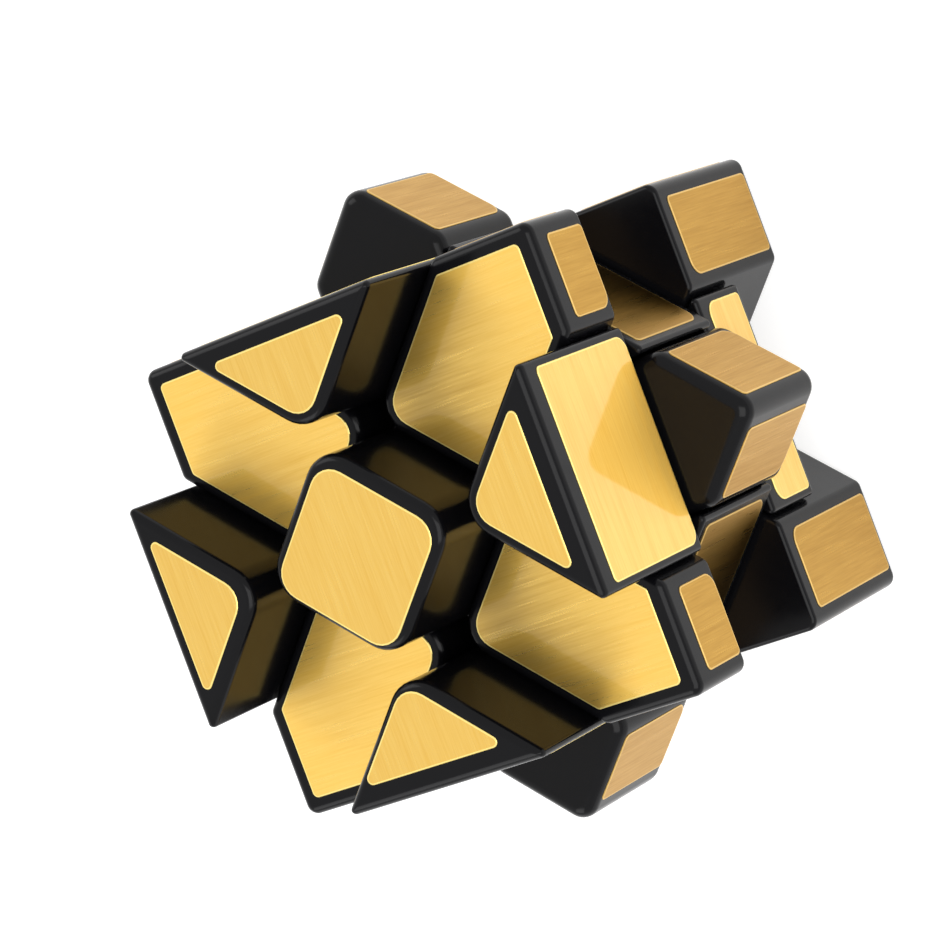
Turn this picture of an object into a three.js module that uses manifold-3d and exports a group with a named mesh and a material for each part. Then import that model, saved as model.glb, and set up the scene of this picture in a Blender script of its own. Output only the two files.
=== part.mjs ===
// Turned-axis mirror puzzle: a 3 x 3 x 3 layer-turning mechanism inside a square block whose
// sides stand at 45 degrees to the cuts. Millimetres, +Z up, origin at the core's centre.
// The two outer layers stand square to X and Y; the middle layer is turned 45 degrees to them.

import * as THREE from 'three';
import { mergeVertices } from 'three/addons/utils/BufferGeometryUtils.js';
import Module from 'manifold-3d';

const wasm = await Module();
wasm.setup();

// Outer shape
const SIDE = 57;            // width of each layer's square outline
const RIDGE_SIDE = 57.8;    // width of the square outline that the ridge caps belong to
const CUT = 9.7;            // each cut plane's distance from the centre
const THICK = 25.2;         // a tall block, from its cut plane to its face
const THIN = 12.4;          // a low block, from its cut plane to its face
const GAP = 0.3;            // running gap between neighbours
const BEVEL = 0.9;          // bevel round each block's two end faces
const INNER_ROUND = 4.2;    // upright edges where two cuts cross
const OUTER_ROUND = 1.6;    // the outline's corners and the edges beside them
const RIDGE_ROUND = 2.3;    // the same edges on the ridge caps
const STEM_ROUND = 1.2;     // the same edges down in the ball, where a block meets its foot

// Ball joint between the blocks and their feet
const HOOK = 1.8;           // how far a foot reaches past its cut plane
const FOOT_DEPTH = 6.2;     // thickness of the feet, along a radius
const BALL_GAP = 0.5;       // gap between the feet and the blocks that turn over them
const NECK_LAP = 1;         // how far a neck runs on past the inner edge of its block
const FACETS = 24;          // flats round a ball or a cone

// Core and screws
const CORE_R = 7;
const ARM_R = 4;
const SCREW_R = 1.5;
const SCREW_DEPTH = 5.4;    // thread inside an arm
const HEAD_R = 3.2;
const HEAD_H = 1.8;
const SLOT_WIDTH = 0.8;
const SLOT_LENGTH = 3.6;
const SLOT_DEPTH = 0.9;
const WASHER_R = 3.7;
const WASHER_T = 0.6;
const WIRE_R = 0.35;
const SPRING_R = 3.1;       // to the middle of the wire
const SPRING_LENGTH = 2.6;
const SPRING_TURNS = 2.5;

// Centre bases and caps
const NECK_CLEARANCE = 0.6; // between a centre's neck and the feet round it
const WELL_FLOOR = 1.4;
const WELL_R = 4;
const PLATE = 0.4;          // least thickness over the ball
const CAP_FACE = 1.2;       // a low cap's face over its recess
const CAP_WALL = 2;         // a cap's wall round the recess that drops over the rim
const RIM_WALL = 1.2;
const RIM_HEIGHT = 0.8;

// Worked out from the sizes above
const apex = SIDE / Math.SQRT2;
const ridgeApex = RIDGE_SIDE / Math.SQRT2;
const inner = CUT - GAP / 2;
const outer = CUT + GAP / 2;
const tall = CUT + THICK;
const low = CUT + THIN;
const recessTop = low - CAP_FACE;
const plateTop = recessTop - GAP - RIM_HEIGHT;
const capStart = plateTop + GAP;
const ballR = plateTop - PLATE - BALL_GAP / 2;
const footR = ballR - FOOT_DEPTH;
const innerEdge = outer + INNER_ROUND * (1 - Math.SQRT1_2);
const neckEnd = Math.max(ballR, Math.hypot(innerEdge, innerEdge, outer + BEVEL)) + NECK_LAP;
const coneCos = (CUT - HOOK) / ballR;
const coneAngle = Math.acos(coneCos);
const armEnd = footR - GAP;
const neckStart = armEnd + GAP;
const wellStart = neckStart + WELL_FLOOR;
const springStart = wellStart + GAP;
const washerStart = springStart + SPRING_LENGTH + GAP;
const headStart = washerStart + WASHER_T + GAP;
const boreR = SCREW_R + GAP;

const X = new THREE.Vector3(1, 0, 0);
const Y = new THREE.Vector3(0, 1, 0);
const Z = new THREE.Vector3(0, 0, 1);

const black = { color: 0x0d0d0f, roughness: 0.22, metalness: 0 };
const nylon = { color: 0xe4e2da, roughness: 0.5, metalness: 0 };
const steel = { color: 0xb9bcc0, roughness: 0.3, metalness: 1 };

// ---- solids ----

function solid(geometry) {
  const plain = geometry.index ? geometry.toNonIndexed() : geometry.clone();
  plain.deleteAttribute('normal');
  plain.deleteAttribute('uv');
  const merged = mergeVertices(plain, 1e-4);
  const vertProperties = new Float32Array(merged.attributes.position.array);
  const triVerts = closedTriangles(merged.index.array);
  return new wasm.Manifold(new wasm.Mesh({ numProp: 3, vertProperties, triVerts }));
}

// Poles and cone tips leave triangles of no area once their vertices are merged
function closedTriangles(index) {
  const kept = [];
  for (let i = 0; i < index.length; i += 3) {
    const [a, b, c] = [index[i], index[i + 1], index[i + 2]];
    if (a !== b && b !== c && c !== a) kept.push(a, b, c);
  }
  return new Uint32Array(kept);
}

function mesh(name, shape, finish) {
  const { vertProperties, triVerts } = shape.getMesh();
  const geometry = new THREE.BufferGeometry();
  geometry.setAttribute('position', new THREE.BufferAttribute(vertProperties, 3));
  geometry.setIndex(new THREE.BufferAttribute(triVerts, 1));
  geometry.computeVertexNormals();
  const item = new THREE.Mesh(geometry, new THREE.MeshStandardMaterial(finish));
  item.name = name;
  return item;
}

// A polygon whose corners are arcs, each given as [x, y, radius, steps]; one with no steps is sharp
function roundedOutline(corners) {
  const points = [];
  corners.forEach(([x, y, radius, steps], i) => {
    const here = new THREE.Vector2(x, y);
    const before = new THREE.Vector2(...corners.at(i - 1)).sub(here).normalize();
    const after = new THREE.Vector2(...corners[(i + 1) % corners.length]).sub(here).normalize();
    const half = Math.acos(before.dot(after)) / 2;
    const middle = before.clone().add(after).normalize();
    const centre = here.clone().addScaledVector(middle, radius / Math.sin(half));
    const start = here.clone().addScaledVector(before, radius / Math.tan(half)).sub(centre);
    const turn = Math.PI - 2 * half;
    for (let k = 0; k <= steps; k++) {
      const angle = steps ? (turn * k) / steps : 0;
      points.push(start.clone().rotateAround(new THREE.Vector2(), angle).add(centre));
    }
  });
  return points;
}

// An upright block with bevelled end faces
function block(corners, bottom, top) {
  const geometry = new THREE.ExtrudeGeometry(new THREE.Shape(roundedOutline(corners)), {
    depth: top - bottom - 2 * BEVEL,
    bevelThickness: BEVEL,
    bevelSize: BEVEL,
    bevelOffset: -BEVEL,
    bevelSegments: 1,
  });
  geometry.translate(0, 0, bottom + BEVEL);
  return solid(geometry);
}

function ball(radius) {
  return solid(new THREE.SphereGeometry(radius, FACETS, FACETS / 2));
}

// A ball that cuts is drawn around its sphere, so its flats leave nothing inside it
function cuttingBall(radius) {
  return ball(radius / Math.cos(Math.PI / FACETS) ** 2);
}

// A cone from near the centre, opening along a direction and wide enough to leave the ball
function cone(direction, shift, widen) {
  const height = 1.2 * ballR;
  const geometry = new THREE.ConeGeometry(height * Math.tan(coneAngle) * widen, height, FACETS);
  geometry.rotateX(-Math.PI / 2);
  geometry.translate(0, 0, height / 2 + shift);
  geometry.applyQuaternion(new THREE.Quaternion().setFromUnitVectors(Z, direction));
  return solid(geometry);
}

const coneShift = GAP / 2 / Math.sin(coneAngle);

function inCone(direction) {
  return cone(direction, coneShift, 1);
}

function outOfCone(direction) {
  return cone(direction, -coneShift, 1 / Math.cos(Math.PI / FACETS));
}

function cylinder(radius, from, to, facets) {
  const geometry = new THREE.CylinderGeometry(radius, radius, to - from, facets);
  geometry.rotateX(Math.PI / 2);
  geometry.translate(0, 0, (from + to) / 2);
  return solid(geometry);
}

function box(halfX, halfY, from, to) {
  const geometry = new THREE.BoxGeometry(2 * halfX, 2 * halfY, to - from);
  geometry.translate(0, 0, (from + to) / 2);
  return solid(geometry);
}

function turned(shape, direction) {
  const q = new THREE.Quaternion().setFromUnitVectors(Z, direction);
  return shape.transform(new THREE.Matrix4().makeRotationFromQuaternion(q).toArray());
}

// ---- outlines, seen along Z with the cuts along X and Y ----

const squareOutline = [[inner, -inner], [inner, inner], [-inner, inner], [-inner, -inner]].map(
  ([x, y]) => [x, y, INNER_ROUND, 4],
);

function pentagonOutline(from, tip, innerRound, outerRound) {
  return [
    [from, -inner, innerRound, 4],
    [tip - inner, -inner, outerRound, 2],
    [tip, 0, outerRound, 2],
    [tip - inner, inner, outerRound, 2],
    [from, inner, innerRound, 4],
  ];
}

function triangleOutline(innerRound) {
  return [
    [outer, outer, innerRound, 4],
    [apex - outer, outer, 0, 0],
    [outer, apex - outer, 0, 0],
  ];
}

// ---- blocks with feet ----

const feetShell = ball(ballR - BALL_GAP / 2).subtract(ball(footR));
const neckShell = ball(neckEnd).subtract(ball(footR));
const bite = cuttingBall(ballR + BALL_GAP / 2);

// The foot fills the block's cell of the ball and hooks under the blocks beside it. The neck joins
// it to the block across the ball's gap.
function footed(outline, bottom, top, cell) {
  const foot = cell.intersect(feetShell);
  const neck = block(outline(STEM_ROUND), bottom, top).intersect(cell).intersect(neckShell);
  return block(outline(INNER_ROUND), bottom, top).subtract(bite).add(foot).add(neck);
}

// The part of the ball that two turning axes share, between the third axis's two cones
function edgeCell(first, second, third) {
  return inCone(first)
    .intersect(inCone(second))
    .subtract(outOfCone(third))
    .subtract(outOfCone(third.clone().negate()));
}

function outerEdge(top) {
  const outline = (round) => pentagonOutline(outer, apex, round, OUTER_ROUND);
  return footed(outline, outer, top, edgeCell(X, Z, Y));
}

function outerCorner(top) {
  return footed(triangleOutline, outer, top, inCone(X).intersect(inCone(Y)).intersect(inCone(Z)));
}

function middleEdge() {
  return footed(triangleOutline, -inner, inner, edgeCell(X, Y, Z));
}

// ---- centres, built along +Z ----

// A square plate over the ball, with a flared neck, a spring well and a rim for the cap
function centreBase() {
  const neckR = footR * coneCos - NECK_CLEARANCE;
  const flareR = ballR * coneCos - NECK_CLEARANCE;
  const flareZ = Math.sqrt(ballR ** 2 - flareR ** 2);
  const neck = solid(new THREE.LatheGeometry([
    new THREE.Vector2(0, neckStart),
    new THREE.Vector2(neckR, neckStart),
    new THREE.Vector2(flareR, flareZ),
    new THREE.Vector2(flareR, plateTop),
    new THREE.Vector2(0, plateTop),
  ], FACETS).rotateX(Math.PI / 2));
  const rimHalf = inner - CAP_WALL - GAP;
  const rim = box(rimHalf, rimHalf, plateTop - PLATE, plateTop + RIM_HEIGHT)
    .subtract(box(rimHalf - RIM_WALL, rimHalf - RIM_WALL, plateTop - 2 * PLATE, plateTop + 2 * RIM_HEIGHT));
  return block(squareOutline, CUT, plateTop)
    .subtract(bite)
    .add(neck)
    .add(rim)
    .subtract(cylinder(WELL_R, wellStart, plateTop + RIM_HEIGHT, 12))
    .subtract(cylinder(boreR, neckStart - GAP, wellStart + GAP, 8));
}

function capRecess() {
  const half = inner - CAP_WALL;
  return box(half, half, capStart - GAP, recessTop);
}

function squareCap(top) {
  return block(squareOutline, capStart, top).subtract(capRecess());
}

// The two sloping faces meet in an upright ridge on the +X side
function ridgeCap() {
  const outline = pentagonOutline(capStart, ridgeApex, RIDGE_ROUND, RIDGE_ROUND);
  return block(outline, -inner, inner).subtract(turned(capRecess(), X));
}

// ---- core, screws, washers and springs, built along +Z ----

function core() {
  let shape = solid(new THREE.SphereGeometry(CORE_R, 12, 6));
  for (const axis of [X, Y, Z]) {
    const arm = cylinder(ARM_R, -armEnd, armEnd, 12);
    shape = shape.add(turned(arm, axis));
  }
  for (const axis of [X, Y, Z]) {
    for (const sign of [1, -1]) {
      const bore = cylinder(boreR, armEnd - SCREW_DEPTH - GAP, armEnd + GAP, 8);
      shape = shape.subtract(turned(bore, axis.clone().multiplyScalar(sign)));
    }
  }
  return shape;
}

function screw() {
  const head = cylinder(HEAD_R, headStart, headStart + HEAD_H, 12);
  const shaft = cylinder(SCREW_R, armEnd - SCREW_DEPTH, headStart + HEAD_H / 2, 8);
  const slotBottom = headStart + HEAD_H - SLOT_DEPTH;
  const slotTop = headStart + 2 * HEAD_H;
  return head
    .add(shaft)
    .subtract(box(SLOT_LENGTH / 2, SLOT_WIDTH / 2, slotBottom, slotTop))
    .subtract(box(SLOT_WIDTH / 2, SLOT_LENGTH / 2, slotBottom, slotTop));
}

function washer() {
  return cylinder(WASHER_R, washerStart, washerStart + WASHER_T, 12)
    .subtract(cylinder(boreR, washerStart - GAP, washerStart + WASHER_T + GAP, 8));
}

class Helix extends THREE.Curve {
  getPoint(t, target = new THREE.Vector3()) {
    const angle = 2 * Math.PI * SPRING_TURNS * t;
    const rise = springStart + WIRE_R + (SPRING_LENGTH - 2 * WIRE_R) * t;
    return target.set(SPRING_R * Math.cos(angle), SPRING_R * Math.sin(angle), rise);
  }
}

function spring() {
  const corners = [0, 1, 2, 3, 4].map((k) =>
    new THREE.Vector2(WIRE_R, 0).rotateAround(new THREE.Vector2(), (k * 2 * Math.PI) / 5),
  );
  const section = new THREE.Shape(corners);
  return solid(new THREE.ExtrudeGeometry(section, {
    steps: 10 * SPRING_TURNS,
    extrudePath: new Helix(),
  }));
}

// ---- assembly ----

const puzzle = new THREE.Group();
const topLayer = new THREE.Group();
const middleLayer = new THREE.Group();
const bottomLayer = new THREE.Group();
topLayer.rotation.z = Math.PI / 4;
bottomLayer.rotation.set(Math.PI, 0, Math.PI / 4);
puzzle.add(topLayer, middleLayer, bottomLayer);

function addOuterLayer(layer, name, edgeTop, cornerTop, centreTop) {
  const edge = outerEdge(edgeTop);
  const corner = outerCorner(cornerTop);
  layer.add(mesh(`${name}_centre_base`, centreBase(), black));
  layer.add(mesh(`${name}_centre_cap`, squareCap(centreTop), black));
  for (let i = 0; i < 4; i++) {
    const edgeMesh = mesh(`${name}_edge_${i + 1}`, edge, black);
    const cornerMesh = mesh(`${name}_corner_${i + 1}`, corner, black);
    edgeMesh.rotation.z = (i * Math.PI) / 2;
    cornerMesh.rotation.z = (i * Math.PI) / 2;
    layer.add(edgeMesh, cornerMesh);
  }
}

addOuterLayer(topLayer, 'top', low, tall, tall);
addOuterLayer(bottomLayer, 'bottom', tall, low, low);

const ridge = ridgeCap();
const flat = middleEdge();
const sideBase = turned(centreBase(), X);
for (let i = 0; i < 4; i++) {
  const quarter = new THREE.Group();
  quarter.rotation.z = (i * Math.PI) / 2;
  quarter.add(mesh(`side_${i + 1}_centre_base`, sideBase, black));
  quarter.add(mesh(`side_${i + 1}_centre_cap`, ridge, black));
  quarter.add(mesh(`middle_edge_${i + 1}`, flat, black));
  middleLayer.add(quarter);
}

middleLayer.add(mesh('core', core(), nylon));
const arms = { top: Z, bottom: Z.clone().negate() };
for (let i = 0; i < 4; i++) arms[`side_${i + 1}`] = X.clone().applyAxisAngle(Z, (i * Math.PI) / 2);
for (const [name, direction] of Object.entries(arms)) {
  const arm = new THREE.Group();
  arm.quaternion.setFromUnitVectors(Z, direction);
  arm.add(mesh(`screw_${name}`, screw(), steel));
  arm.add(mesh(`washer_${name}`, washer(), steel));
  arm.add(mesh(`spring_${name}`, spring(), steel));
  middleLayer.add(arm);
}

export default puzzle;
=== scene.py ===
import math

import bmesh
import bpy
from mathutils import Matrix, Vector


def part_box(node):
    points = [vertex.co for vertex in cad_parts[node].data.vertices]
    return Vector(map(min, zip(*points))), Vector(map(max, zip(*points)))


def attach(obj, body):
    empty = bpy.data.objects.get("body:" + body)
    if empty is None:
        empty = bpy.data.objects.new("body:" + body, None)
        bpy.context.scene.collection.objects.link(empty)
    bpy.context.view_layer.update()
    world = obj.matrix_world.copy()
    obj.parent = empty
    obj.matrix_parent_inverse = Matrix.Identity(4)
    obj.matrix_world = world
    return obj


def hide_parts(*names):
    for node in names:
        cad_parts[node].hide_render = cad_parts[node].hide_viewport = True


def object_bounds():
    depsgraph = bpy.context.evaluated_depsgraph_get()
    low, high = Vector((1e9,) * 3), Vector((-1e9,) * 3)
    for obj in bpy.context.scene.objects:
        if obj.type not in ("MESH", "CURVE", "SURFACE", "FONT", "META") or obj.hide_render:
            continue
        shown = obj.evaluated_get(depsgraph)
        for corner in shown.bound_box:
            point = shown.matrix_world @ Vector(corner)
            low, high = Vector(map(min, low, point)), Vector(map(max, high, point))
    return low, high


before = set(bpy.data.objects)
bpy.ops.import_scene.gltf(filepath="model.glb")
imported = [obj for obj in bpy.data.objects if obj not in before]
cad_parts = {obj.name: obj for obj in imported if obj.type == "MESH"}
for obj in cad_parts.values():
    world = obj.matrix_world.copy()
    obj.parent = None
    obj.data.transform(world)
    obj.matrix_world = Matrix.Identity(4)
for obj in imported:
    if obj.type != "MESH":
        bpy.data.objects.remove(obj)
cad_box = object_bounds()


# ---- Core and its six arms ----
# One moulding of natural nylon: a ball with six round arms, each bored for a tension screw.
# It is moulded unpolished, so it has a dull, even, slightly waxy skin.

MM = 0.001


def linear(hex_colour):
    channels = [int(hex_colour[i:i + 2], 16) / 255 for i in (1, 3, 5)]
    return [c / 12.92 if c <= 0.04045 else ((c + 0.055) / 1.055) ** 2.4 for c in channels] + [1.0]


def add(tree, kind, settings=None, **links):
    """Adds a node; a link value is a socket, and any other value is set on the input."""
    node = tree.nodes.new(kind)
    for key, value in (settings or {}).items():
        setattr(node, key, value)
    for key, value in links.items():
        numbered = key[0] == "i" and key[1:].isdigit()
        socket = node.inputs[int(key[1:]) if numbered else key.replace("_", " ")]
        if isinstance(value, bpy.types.NodeSocket):
            tree.links.new(value, socket)
        else:
            socket.default_value = value
    return node


def new_material(name):
    material = bpy.data.materials.new(name)
    material.use_nodes = True
    material.node_tree.nodes.clear()
    return material, material.node_tree


def finish_material(tree, shader):
    add(tree, "ShaderNodeOutputMaterial", Surface=shader.outputs["BSDF"])


def moulded_nylon():
    material, tree = new_material("moulded_natural_nylon")
    place = add(tree, "ShaderNodeTexCoord").outputs["Object"]
    skin = add(tree, "ShaderNodeTexNoise", Vector=place, Scale=1 / (0.6 * MM), Detail=3.0)
    tone = add(tree, "ShaderNodeTexNoise", Vector=place, Scale=1 / (9 * MM), Detail=2.0)
    colour = add(tree, "ShaderNodeMix", {"data_type": "RGBA"}, Factor=tone.outputs["Fac"])
    colour.inputs[6].default_value = linear("#E6E2D4")
    colour.inputs[7].default_value = linear("#D8D2BF")
    bump = add(tree, "ShaderNodeBump", Height=skin.outputs["Fac"], Strength=0.2, Distance=0.03 * MM)
    shader = add(tree, "ShaderNodeBsdfPrincipled", Base_Color=colour.outputs[2], Roughness=0.5, IOR=1.53,
                 Normal=bump.outputs["Normal"])
    finish_material(tree, shader)
    return material


def dress(node, material):
    """Gives a CAD node its material."""
    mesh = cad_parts[node].data
    mesh.materials.clear()
    mesh.materials.append(material)


dress("core", moulded_nylon())


# ---- Screws, washers and springs ----
# Six zinc-plated steel screws, each with a plain washer over a short spring of drawn wire, pull the
# centres onto the core. The plating is bright and slightly cloudy; the wire shows its drawing lines.

ARMS = ["top", "bottom", "side_1", "side_2", "side_3", "side_4"]


def plated_steel(name, colour, roughness, grain):
    material, tree = new_material(name)
    place = add(tree, "ShaderNodeTexCoord").outputs["Object"]
    cloud = add(tree, "ShaderNodeTexNoise", Vector=place, Scale=1 / grain, Detail=4.0)
    rough = add(tree, "ShaderNodeMapRange", Value=cloud.outputs["Fac"])
    rough.inputs["To Min"].default_value = roughness - 0.08
    rough.inputs["To Max"].default_value = roughness + 0.1
    shader = add(tree, "ShaderNodeBsdfPrincipled", Base_Color=linear(colour), Metallic=1.0,
                 Roughness=rough.outputs["Result"])
    finish_material(tree, shader)
    return material


zinc_plate = plated_steel("zinc_plated_steel", "#C9CBCD", 0.3, 0.8 * MM)
spring_wire = plated_steel("drawn_spring_steel", "#A3A3A2", 0.35, 0.3 * MM)
for arm in ARMS:
    dress(f"screw_{arm}", zinc_plate)
    dress(f"washer_{arm}", zinc_plate)
    dress(f"spring_{arm}", spring_wire)


# ---- Centre bases ----
# Six square plates with a flared neck that turns on an arm, moulded in the same black ABS as the
# blocks. Their caps cover them, so they keep the plain shine of the mould.

def glossy_black_abs():
    """Injection-moulded ABS from a polished mould: near black, with a soft, faintly wavy gloss."""
    material, tree = new_material("glossy_moulded_abs")
    place = add(tree, "ShaderNodeTexCoord").outputs["Object"]
    waves = add(tree, "ShaderNodeTexNoise", Vector=place, Scale=1 / (5 * MM), Detail=1.0)
    polish = add(tree, "ShaderNodeTexNoise", Vector=place, Scale=1 / (1.6 * MM), Detail=5.0)
    rough = add(tree, "ShaderNodeMapRange", Value=polish.outputs["Fac"])
    rough.inputs["To Min"].default_value = 0.12
    rough.inputs["To Max"].default_value = 0.24
    bump = add(tree, "ShaderNodeBump", Height=waves.outputs["Fac"], Strength=0.15, Distance=0.1 * MM)
    shader = add(tree, "ShaderNodeBsdfPrincipled", Base_Color=linear("#08080A"), IOR=1.5,
                 Roughness=rough.outputs["Result"], Normal=bump.outputs["Normal"])
    shader.inputs["Specular IOR Level"].default_value = 0.14
    finish_material(tree, shader)
    return material


black_abs = glossy_black_abs()
for arm in ARMS:
    dress(f"{arm}_centre_base", black_abs)


# ---- Middle layer ----
# Four ridge caps over the side centres and four flat edges between them, in black ABS. Each ridge
# has two sloping faces that meet in a wide round; each flat edge shows one face.

HALF_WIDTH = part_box("top_corner_1")[1][1]
APEX = HALF_WIDTH * math.sqrt(2)
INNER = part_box("side_1_centre_cap")[1][1]
GAP = 0.3 * MM
OUTER = INNER + GAP
CAP_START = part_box("top_centre_cap")[0][2]

INNER_ROUND = 4.2 * MM   # upright edges where two cuts cross
RIDGE_ROUND = 2.3 * MM   # upright edges of a ridge cap
RIDGE_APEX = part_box("side_1_centre_cap")[1][0] + RIDGE_ROUND * (math.sqrt(2) - 1)
POINT_ROUND = 0.6 * MM   # a triangle's two sharp edges
BALL = CAP_START - 0.95 * MM   # middle of the gap between the feet and the blocks over them
SHARPEST = 0.05 * MM     # the least that a corner keeps where a fillet is wider than its round
RIDGE_FILLET = 1.75 * MM # both rims of a ridge cap
BACK_FILLET = 0.6 * MM   # rims that other blocks cover
RING_STEPS = 5
CORNER_STEPS = 8
WELD = 0.001 * MM


def intersection(p, d, q, e):
    """Where the line from p along d meets the line from q along e."""
    t = ((q.x - p.x) * e.y - (q.y - p.y) * e.x) / (d.x * e.y - d.y * e.x)
    return p + d * t


def round_corners(corners, steps):
    """Rounds a convex outline. A corner is (x, y, radius); each point found has its outward normal,
    the corner that it belongs to, and how far round that corner it is, from 0 to 1."""
    points = []
    for i, (x, y, radius) in enumerate(corners):
        here = Vector((x, y))
        before = (Vector(corners[i - 1][:2]) - here).normalized()
        after = (Vector(corners[(i + 1) % len(corners)][:2]) - here).normalized()
        half = before.angle(after) / 2
        centre = here + (before + after).normalized() * (radius / math.sin(half))
        spoke = here + before * (radius / math.tan(half)) - centre
        turn = math.pi - 2 * half
        for k in range(steps + 1):
            normal = Matrix.Rotation(turn * k / steps, 2) @ spoke
            points.append((centre + normal, normal.normalized(), i, k / steps))
    return points


def inset_outline(corners, insets, radii):
    """The outline drawn in by a distance for each side, with a new radius for each corner. Side i
    runs from corner i to the next."""
    sides = []
    for i, corner in enumerate(corners):
        start = Vector(corner[:2])
        along = (Vector(corners[(i + 1) % len(corners)][:2]) - start).normalized()
        sides.append((start + Vector((-along.y, along.x)) * insets[i], along))
    found = [intersection(*sides[i - 1], *sides[i]) for i in range(len(corners))]
    return [(p.x, p.y, radii[i]) for i, p in enumerate(found)]


def block_mesh(corners, back_rims, rims, bottom, top):
    """An upright block, with the fillets of its two end faces along each side of the outline."""
    bm = bmesh.new()
    rings = []
    for fillets, height, sense in ((back_rims, bottom, 1), (rims, top, -1)):
        for k in range(RING_STEPS + 1):
            part = k / RING_STEPS if sense == -1 else 1 - k / RING_STEPS
            pulled = 1 - math.cos(math.pi / 2 * part)
            sunk = 1 - math.sin(math.pi / 2 * part)
            insets = [fillet * pulled for fillet in fillets]
            radii = [max(corner[2] - (insets[i - 1] + insets[i]) / 2, SHARPEST)
                     for i, corner in enumerate(corners)]
            ring = []
            for point, _, i, along in round_corners(inset_outline(corners, insets, radii), CORNER_STEPS):
                fillet = fillets[i - 1] * (1 - along) + fillets[i] * along
                ring.append(bm.verts.new((*point, height + sense * fillet * sunk)))
            rings.append(ring)
    for lower, upper in zip(rings, rings[1:]):
        for k in range(len(lower)):
            bm.faces.new((lower[k - 1], lower[k], upper[k], upper[k - 1]))
    bm.faces.new(rings[0][::-1])
    bm.faces.new(rings[-1])
    return bm


def turned(angle):
    return Matrix.Rotation(angle, 4, "Z")


def piece_from(bm, name, body, material, place):
    bm.transform(place)
    mesh = bpy.data.meshes.new(name)
    bm.to_mesh(mesh)
    bm.free()
    mesh.materials.append(material)
    piece = bpy.data.objects.new(name, mesh)
    bpy.context.collection.objects.link(piece)
    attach(piece, body)
    return piece


def smooth(piece):
    """Smooth shading that keeps flats flat and real corners sharp."""
    for face in piece.data.polygons:
        face.use_smooth = True
    piece.data.set_sharp_from_angle(angle=math.radians(35))
    weighted = piece.modifiers.new("flat_faces", "WEIGHTED_NORMAL")
    weighted.keep_sharp = True


def boolean(piece, cutter, operation):
    """Cuts a piece's mesh with another object's, or keeps the part that they share."""
    modifier = piece.modifiers.new("boolean", "BOOLEAN")
    modifier.operation = operation
    modifier.object = cutter
    evaluated = piece.evaluated_get(bpy.context.evaluated_depsgraph_get())
    mesh = bpy.data.meshes.new_from_object(evaluated)
    piece.modifiers.remove(modifier)
    piece.data = mesh


def ball_cutter():
    bm = bmesh.new()
    bmesh.ops.create_icosphere(bm, subdivisions=4, radius=BALL)
    mesh = bpy.data.meshes.new("ball_cutter")
    bm.to_mesh(mesh)
    bm.free()
    cutter = bpy.data.objects.new("ball_cutter", mesh)
    bpy.context.collection.objects.link(cutter)
    return cutter


def add_block(node, body, corners, back_rims, rims, bottom, top, place):
    bm = block_mesh(corners, back_rims, rims, bottom, top)
    piece = piece_from(bm, f"{node}_block", body, black_abs, place)
    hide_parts(node)
    return piece


def add_foot(node, body):
    """The foot and neck of a block, up to the middle of the ball's gap, with its facets smoothed."""
    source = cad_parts[node]
    bm = bmesh.new()
    bm.from_mesh(source.data)
    bmesh.ops.remove_doubles(bm, verts=bm.verts, dist=WELD)
    foot = piece_from(bm, f"{node}_foot", body, black_abs, source.matrix_world.copy())
    boolean(foot, ball, "INTERSECT")
    smooth(foot)
    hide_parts(node)


def add_footed_block(node, body, *shape):
    boolean(add_block(node, body, *shape), ball, "DIFFERENCE")
    smooth(bpy.data.objects[f"{node}_block"])
    add_foot(node, body)


ball = ball_cutter()


def pentagon(start, tip, round_in, round_out):
    """Between two cuts, out to the outline's corner on +X."""
    return [(start, -INNER, round_in), (tip - INNER, -INNER, round_out), (tip, 0, round_out),
            (tip - INNER, INNER, round_out), (start, INNER, round_in)]


# Beyond two cuts, inside the outline's long side
TRIANGLE = [(OUTER, OUTER, INNER_ROUND), (APEX - OUTER, OUTER, POINT_ROUND),
            (OUTER, APEX - OUTER, POINT_ROUND)]
RIDGE = pentagon(CAP_START, RIDGE_APEX, RIDGE_ROUND, RIDGE_ROUND)
for i in range(4):
    quarter = turned(i * math.pi / 2)
    smooth(add_block(f"side_{i + 1}_centre_cap", "middle_layer", RIDGE, [RIDGE_FILLET] * 5,
                     [RIDGE_FILLET] * 5, -INNER, INNER, quarter))
    add_footed_block(f"middle_edge_{i + 1}", "middle_layer", TRIANGLE, [BACK_FILLET] * 3,
                     [BACK_FILLET] * 3, -INNER, INNER, quarter)


# ---- Outer layers ----
# Each has a square centre cap, four pentagon edges at the outline's corners and four triangular
# corners between them, in black ABS. The pentagons are low above and tall below.

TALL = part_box("top_centre_cap")[1][2]
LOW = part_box("top_edge_1")[1][2]
OUTER_ROUND = 1.4 * MM   # the outline's corners and the edges beside them
CUT_FILLET = 1.0 * MM    # rim of a face along a cut
OPEN_FILLET = 1.15 * MM  # rim of a face along the outside

SQUARE = [(INNER, -INNER, INNER_ROUND), (INNER, INNER, INNER_ROUND), (-INNER, INNER, INNER_ROUND),
          (-INNER, -INNER, INNER_ROUND)]
LAYERS = {
    "top": (turned(math.pi / 4), LOW, TALL),
    "bottom": (Matrix.Rotation(math.pi, 4, "X") @ turned(math.pi / 4), TALL, LOW),
}

PENTAGON = pentagon(OUTER, APEX, INNER_ROUND, OUTER_ROUND)
PENTAGON_RIMS = [CUT_FILLET, OPEN_FILLET, OPEN_FILLET, CUT_FILLET, CUT_FILLET]
TRIANGLE_RIMS = [CUT_FILLET, OPEN_FILLET, CUT_FILLET]

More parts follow.
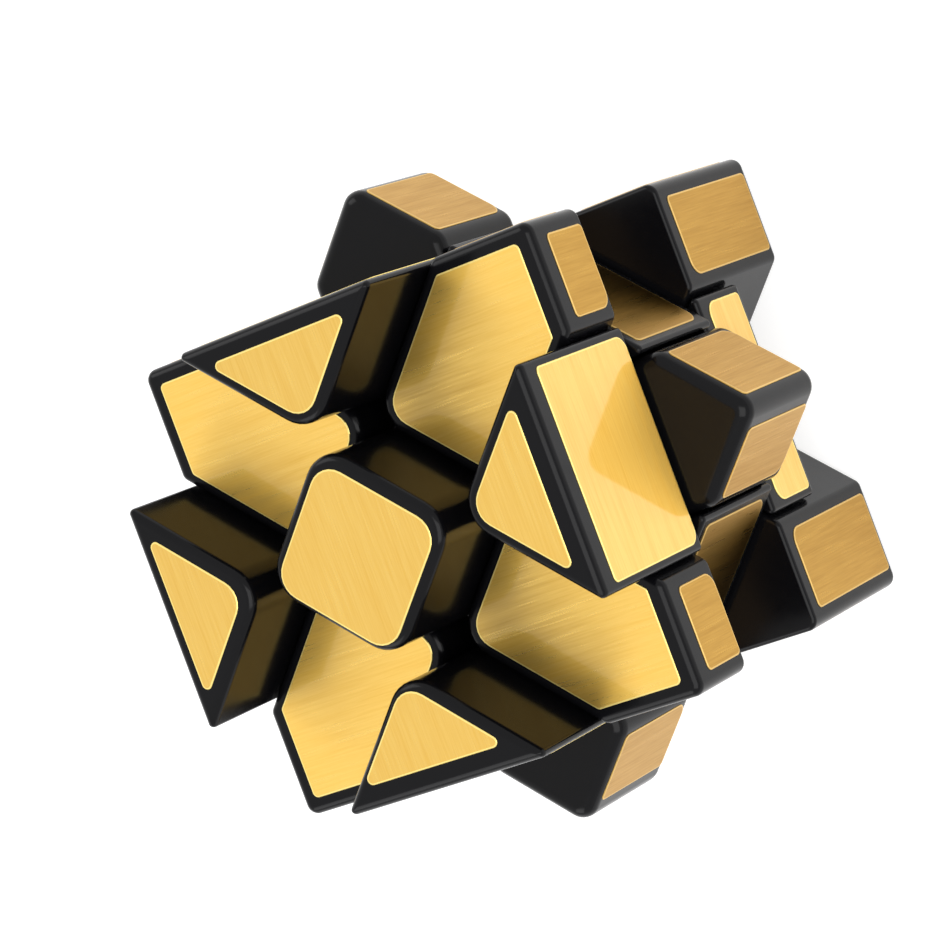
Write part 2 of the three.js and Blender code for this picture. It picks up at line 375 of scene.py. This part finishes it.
for layer, (placed, edge_top, corner_top) in LAYERS.items():
    body = f"{layer}_layer"
    smooth(add_block(f"{layer}_centre_cap", body, SQUARE, [BACK_FILLET] * 4, [CUT_FILLET] * 4, CAP_START,
                     corner_top, placed))
    for i in range(4):
        quarter = placed @ turned(i * math.pi / 2)
        add_footed_block(f"{layer}_edge_{i + 1}", body, PENTAGON, [BACK_FILLET] * 5, PENTAGON_RIMS,
                         OUTER, edge_top, quarter)
        add_footed_block(f"{layer}_corner_{i + 1}", body, TRIANGLE, [BACK_FILLET] * 3, TRIANGLE_RIMS,
                         OUTER, corner_top, quarter)
bpy.data.objects.remove(ball)


# ---- Foil stickers ----
# Each face carries a die-cut sticker of lacquered, gold-dyed aluminised film, brushed before it was
# cut, so the grain turns with the way each sticker was laid. Its rim is a paler painted highlight.

CUT = INNER + GAP / 2
RIDGE_HALF_WIDTH = RIDGE_APEX / math.sqrt(2)
FOIL = 0.12 * MM
HIGHLIGHT_RIM_WIDTH = 0.2 * MM            # width of the rim painted paler, a painted highlight
CENTRE_MARGIN = 1.2 * MM      # round a centre's face
PENTAGON_MARGIN = 1.45 * MM   # along the cuts, on a pentagon
PENTAGON_OPEN_MARGIN = 2.0 * MM
TRIANGLE_MARGIN = 1.4 * MM    # along the cuts, on a triangle
TRIANGLE_OPEN_MARGIN = 2.4 * MM
SIDE_MARGIN = 2.05 * MM       # at both ends of a triangle's side face
CORNER_MARGIN = 2.1 * MM      # beside the outline's upright corners
RIDGE_MARGINS = (1.95 * MM, 3.4 * MM)
RIDGE_FAR_MARGIN = 1.0 * MM
MIDDLE_MARGIN = 1.7 * MM      # along the cuts, on the middle layer
MIDDLE_END_MARGIN = 2.3 * MM
SIDE_RIMS = {"top": (0.8 * MM, 3.2 * MM), "bottom": (2.3 * MM, 1.35 * MM)}   # at the cut and the end
SMALL_ROUND = 0.7 * MM
WIDE_ROUND = 1.8 * MM
STICKER_STEPS = 6
PATCH_STEP = 37               # mm across the grain from one sticker's patch of film to the next
SLIPS = {   # stickers laid a little off their place
    "top_centre_foil": (-0.35 * MM, -0.35 * MM),
    "top_corner_2_foil": (-0.7 * MM, 0),
    "top_corner_3_foil": (-0.4 * MM, 0.4 * MM),
}


def brushed_gold_foil(name, dark, light, edge, lacquer, roughness):
    """Gold-dyed aluminised film: a warm metal with a fine straight grain under a clear lacquer, whose
    gloss is sharper than the metal's. Edge is the metal's tint at a glancing angle, and roughness
    runs from the bright lines of the grain to the dark ones. The real grain is finer than a tenth
    of a millimetre, so it is drawn three times as coarse to show."""
    material, tree = new_material(name)
    grain = add(tree, "ShaderNodeUVMap", {"uv_map": "grain"}).outputs["UV"]
    scaled = {"operation": "MULTIPLY"}
    fine_place = add(tree, "ShaderNodeVectorMath", scaled, i0=grain, i1=(1 / 0.25, 1 / 9, 1))
    broad_place = add(tree, "ShaderNodeVectorMath", scaled, i0=grain, i1=(1 / 1.2, 1 / 24, 1))
    fine = add(tree, "ShaderNodeTexNoise", Vector=fine_place.outputs["Vector"], Scale=1.0, Detail=4.0,
               Roughness=0.65)
    broad = add(tree, "ShaderNodeTexNoise", Vector=broad_place.outputs["Vector"], Scale=1.0, Detail=2.0)
    broad_share = add(tree, "ShaderNodeMath", scaled, i0=broad.outputs["Fac"], i1=0.35)
    mixed = add(tree, "ShaderNodeMath", {"operation": "MULTIPLY_ADD"}, i0=fine.outputs["Fac"], i1=0.65,
                i2=broad_share.outputs["Value"])
    tone = add(tree, "ShaderNodeMapRange", Value=mixed.outputs["Value"])
    tone.inputs["From Min"].default_value = 0.3
    tone.inputs["From Max"].default_value = 0.7
    colour = add(tree, "ShaderNodeMix", {"data_type": "RGBA"}, Factor=tone.outputs["Result"])
    colour.inputs[6].default_value = linear(dark)
    colour.inputs[7].default_value = linear(light)
    rough = add(tree, "ShaderNodeMapRange", Value=mixed.outputs["Value"])
    rough.inputs["From Min"].default_value = 0.3
    rough.inputs["From Max"].default_value = 0.7
    rough.inputs["To Min"].default_value = roughness[1]
    rough.inputs["To Max"].default_value = roughness[0]
    bump = add(tree, "ShaderNodeBump", Height=fine.outputs["Fac"], Strength=0.2, Distance=0.02 * MM)
    along = add(tree, "ShaderNodeTangent", {"direction_type": "UV_MAP", "uv_map": "grain"})
    shader = add(tree, "ShaderNodeBsdfPrincipled", Base_Color=colour.outputs[2], Metallic=1.0,
                 Roughness=rough.outputs["Result"], Normal=bump.outputs["Normal"],
                 Tangent=along.outputs["Tangent"], Anisotropic=0.8, Specular_Tint=linear(edge),
                 Coat_Weight=lacquer, Coat_Roughness=0.06)
    finish_material(tree, shader)
    return material


def painted_rim_highlight(name, colour):
    """The same film along its rim, painted pale as a highlight, in a satin gloss without grain."""
    material, tree = new_material(name)
    place = add(tree, "ShaderNodeTexCoord").outputs["Object"]
    dents = add(tree, "ShaderNodeTexNoise", Vector=place, Scale=1 / (0.5 * MM), Detail=2.0)
    rough = add(tree, "ShaderNodeMapRange", Value=dents.outputs["Fac"])
    rough.inputs["To Min"].default_value = 0.3
    rough.inputs["To Max"].default_value = 0.45
    shader = add(tree, "ShaderNodeBsdfPrincipled", Base_Color=linear(colour), Metallic=1.0,
                 Roughness=rough.outputs["Result"])
    finish_material(tree, shader)
    return material


# The bright film is on the end faces, the coarser one on the corners' outer faces, and a darker copy
# with thin lacquer, whose darker colour is painted shade, on the sides of the pentagons and round the
# middle layer
# The rim's pale colour is a painted highlight
bright_rim_highlight = painted_rim_highlight("gold_foil_rim_painted_highlight", "#F5DC86")
bright_foil = [brushed_gold_foil("brushed_gold_foil", "#D8AA44", "#E9C262", "#FFFFFF", 0.75,
                                 (0.24, 0.38)), bright_rim_highlight]
upright_foil = [brushed_gold_foil("coarsely_brushed_gold_foil", "#D8AA44", "#E9C262", "#FFFFFF", 0.85,
                                  (0.45, 0.62)), bright_rim_highlight]
# Darker colours are painted shade; its rim is a painted highlight darkened by painted shade
painted_shade_foil = [brushed_gold_foil("brushed_gold_foil_painted_shade", "#A67D34", "#BE9546", "#F3EBE3", 0.04,
                               (0.24, 0.38)), painted_rim_highlight("gold_foil_rim_painted_highlight_and_shade", "#D2AE66")]


def add_sticker(name, body, foil, corners, plane, brushed):
    """A thin sheet on a plane: plane's columns are the sheet's x, y and outward directions and its
    origin, and brushed is the direction of the grain on the sheet."""
    bm = bmesh.new()
    bevel = FOIL / 2
    outline = round_corners(corners, STICKER_STEPS)
    # The rings at the rim take the second material, whose pale colour is a painted highlight.
    levels = ((0, -FOIL / 4), (0, FOIL - bevel), (bevel, FOIL), (HIGHLIGHT_RIM_WIDTH, FOIL))
    rings = [[bm.verts.new((*(p - n * pull), lift)) for p, n, _, _ in outline] for pull, lift in levels]
    for lower, upper in zip(rings, rings[1:]):
        for k in range(len(outline)):
            bm.faces.new((lower[k - 1], lower[k], upper[k], upper[k - 1])).material_index = 1
    bm.faces.new(rings[0][::-1])
    bm.faces.new(rings[-1])
    along = Vector(brushed).normalized()
    across = Vector((along.y, -along.x))
    patch = PATCH_STEP * len(bpy.data.meshes)
    uv = bm.loops.layers.uv.new("grain")
    for face in bm.faces:
        for loop in face.loops:
            flat = loop.vert.co.xy
            loop[uv].uv = (across.dot(flat) / MM + patch, along.dot(flat) / MM)
    piece = piece_from(bm, name, body, foil[0], plane)
    piece.data.materials.append(foil[1])


def end_sticker(name, body, corners, margins, radii, height, place, brushed):
    outline = inset_outline(corners, margins, radii)
    local = place.inverted().to_3x3() @ Vector((*brushed, 0))
    slip = Matrix.Translation((*SLIPS.get(name, (0, 0)), 0))
    plane = slip @ place @ Matrix.Translation((0, 0, height))
    add_sticker(name, body, bright_foil, outline, plane, local.xy)


def slope_plane(place, side, half_width):
    """The upright plane of the outline's side that faces +X and +Y, or +X and -Y when side is -1.
    Its x runs to the right, seen from outside, and its origin is at the side's middle."""
    outward = Vector((1, side, 0)).normalized()
    up = Vector((0, 0, 1))
    rows = Matrix((up.cross(outward), up, outward))
    return place @ Matrix.Translation(outward * half_width) @ rows.transposed().to_4x4()


def side_sticker(name, body, foil, ends, heights, cut_rounds, plane, brushed):
    """A rectangle on a side face, with cut_rounds for its two corners at the layer's cut."""
    (left, right), (low, high) = ends, heights
    outline = [(left, low, cut_rounds[0]), (right, low, cut_rounds[1]), (right, high, SMALL_ROUND),
               (left, high, SMALL_ROUND)]
    add_sticker(name, body, foil, outline, plane, brushed)


def pentagon_side_stickers(name, body, half_width, heights, place, corner_margins, cut_margin):
    """Two rectangles, one on each side of the outline's corner, brushed upright."""
    near = half_width - CUT * math.sqrt(2) + cut_margin
    left_far, right_far = (half_width - margin for margin in corner_margins)
    # These stickers take the darker foil, whose colour is painted shade
    side_sticker(f"{name}_side_1", body, painted_shade_foil, (-left_far, -near), heights,
                 (SMALL_ROUND, WIDE_ROUND), slope_plane(place, 1, half_width), (0, 1))
    side_sticker(f"{name}_side_2", body, painted_shade_foil, (near, right_far), heights,
                 (WIDE_ROUND, SMALL_ROUND), slope_plane(place, -1, half_width), (0, 1))


def triangle_side_sticker(name, body, foil, heights, place, margin, brushed):
    half = HALF_WIDTH - CUT * math.sqrt(2) - margin
    side_sticker(f"{name}_side", body, foil, (-half, half), heights, (WIDE_ROUND, WIDE_ROUND),
                 slope_plane(place, 1, HALF_WIDTH), brushed)


reach = CUT - MIDDLE_MARGIN
for i in range(4):
    quarter = turned(i * math.pi / 2)
    margins = RIDGE_MARGINS if i % 2 == 0 else RIDGE_MARGINS[::-1]
    # Both take the darker foil, whose colour is painted shade
    pentagon_side_stickers(f"side_{i + 1}_ridge_foil", "middle_layer", RIDGE_HALF_WIDTH,
                           (-reach, reach), quarter, margins, RIDGE_FAR_MARGIN)
    triangle_side_sticker(f"middle_edge_{i + 1}_foil", "middle_layer", painted_shade_foil,
                          (-reach, reach), quarter, MIDDLE_END_MARGIN, (0, 1))

CENTRE_ROUND = INNER_ROUND - CENTRE_MARGIN
PENTAGON_ROUND = INNER_ROUND - PENTAGON_MARGIN
TRIANGLE_ROUND = INNER_ROUND - TRIANGLE_MARGIN
PENTAGON_MARGINS = [PENTAGON_MARGIN, PENTAGON_OPEN_MARGIN, PENTAGON_OPEN_MARGIN, PENTAGON_MARGIN,
                    PENTAGON_MARGIN]
PENTAGON_ROUNDS = [PENTAGON_ROUND, SMALL_ROUND, SMALL_ROUND, SMALL_ROUND, PENTAGON_ROUND]
TRIANGLE_MARGINS = [TRIANGLE_MARGIN, TRIANGLE_OPEN_MARGIN, TRIANGLE_MARGIN]
TRIANGLE_ROUNDS = [TRIANGLE_ROUND, SMALL_ROUND, SMALL_ROUND]
for layer, (placed, edge_top, corner_top) in LAYERS.items():
    body = f"{layer}_layer"
    cap_brush, edge_brush = ((0, 1), (1, 0)) if layer == "top" else ((1, 0), (0, 1))
    cut_rim, end_rim = SIDE_RIMS[layer]
    start = CUT + cut_rim
    end_sticker(f"{layer}_centre_foil", body, SQUARE, [CENTRE_MARGIN] * 4, [CENTRE_ROUND] * 4,
                corner_top, placed, cap_brush)
    for i in range(4):
        quarter = placed @ turned(i * math.pi / 2)
        edge = f"{layer}_edge_{i + 1}_foil"
        corner = f"{layer}_corner_{i + 1}_foil"
        end_sticker(edge, body, PENTAGON, PENTAGON_MARGINS, PENTAGON_ROUNDS, edge_top, quarter,
                    edge_brush)
        end_sticker(corner, body, TRIANGLE, TRIANGLE_MARGINS, TRIANGLE_ROUNDS, corner_top, quarter,
                    cap_brush)
        pentagon_side_stickers(edge, body, HALF_WIDTH, (start, edge_top - end_rim), quarter,
                               (CORNER_MARGIN, CORNER_MARGIN), PENTAGON_MARGIN)
        triangle_side_sticker(corner, body, upright_foil, (start, corner_top - end_rim), quarter,
                              SIDE_MARGIN, (1, 0))


# ---- Table, lights and camera ----
# A sheet of opal acrylic lit softly from below, so that it stays white beside the puzzle, a bright
# surround with three soft panels, and a long lens that looks down on the tall centre block.

table_mesh = bpy.data.meshes.new("table")
TABLE_HALF = 4.0
table_bm = bmesh.new()
for x, y in ((-1, -1), (1, -1), (1, 1), (-1, 1)):
    table_bm.verts.new((x * TABLE_HALF, y * TABLE_HALF, cad_box[0][2] - FOIL))
table_bm.faces.new(table_bm.verts)
table_bm.to_mesh(table_mesh)
table_bm.free()
table = bpy.data.objects.new("table", table_mesh)
bpy.context.collection.objects.link(table)
opal, opal_tree = new_material("matt_opal_acrylic")
opal_shader = add(opal_tree, "ShaderNodeBsdfPrincipled", Base_Color=linear("#C0C0C0"), Roughness=0.9,
                  Emission_Strength=0.62)
opal_shader.inputs["Emission Color"].default_value = linear("#FFFFFF")
finish_material(opal_tree, opal_shader)
table_mesh.materials.append(opal)

world = bpy.data.worlds.new("soft_studio")
bpy.context.scene.world = world
world.use_nodes = True
world.node_tree.nodes["Background"].inputs["Color"].default_value = (1, 1, 1, 1)
world.node_tree.nodes["Background"].inputs["Strength"].default_value = 1.12


def soft_light(name, place, aim, size, power):
    data = bpy.data.lights.new(name, "AREA")
    data.shape = "SQUARE"
    data.size = size
    data.energy = power
    light = bpy.data.objects.new(name, data)
    light.location = place
    light.rotation_euler = (Vector(aim) - Vector(place)).to_track_quat("-Z", "Y").to_euler()
    bpy.context.collection.objects.link(light)


soft_light("key_panel", (0.7, -0.3, 0.95), (0, 0, 0), 1.0, 9.0)
soft_light("left_panel", (-0.6, 0.85, 0.75), (0, 0, 0), 0.7, 3.8)
soft_light("right_panel", (-0.6, -0.85, 0.75), (0, 0, 0), 0.7, 3.8)

bpy.context.scene.view_settings.view_transform = "Standard"

DISTANCE = 460.8 * MM
ELEVATION = math.radians(58.52)
AZIMUTH = math.radians(2.33)
ROLL = math.radians(-112.53)
AIM = Vector((-3.0, 3.0, 0)) * MM
lens = bpy.data.cameras.new("camera")
lens.lens = 143.6
lens.sensor_width = 36
camera = bpy.data.objects.new("camera", lens)
back = Vector((math.cos(ELEVATION) * math.cos(AZIMUTH), math.cos(ELEVATION) * math.sin(AZIMUTH),
               math.sin(ELEVATION)))
camera.location = AIM + back * DISTANCE
camera.rotation_mode = "QUATERNION"
level = (-back).to_track_quat("-Z", "Y")
camera.rotation_quaternion = level @ Matrix.Rotation(ROLL, 3, "Z").to_quaternion()
bpy.context.collection.objects.link(camera)
bpy.context.scene.camera = camera
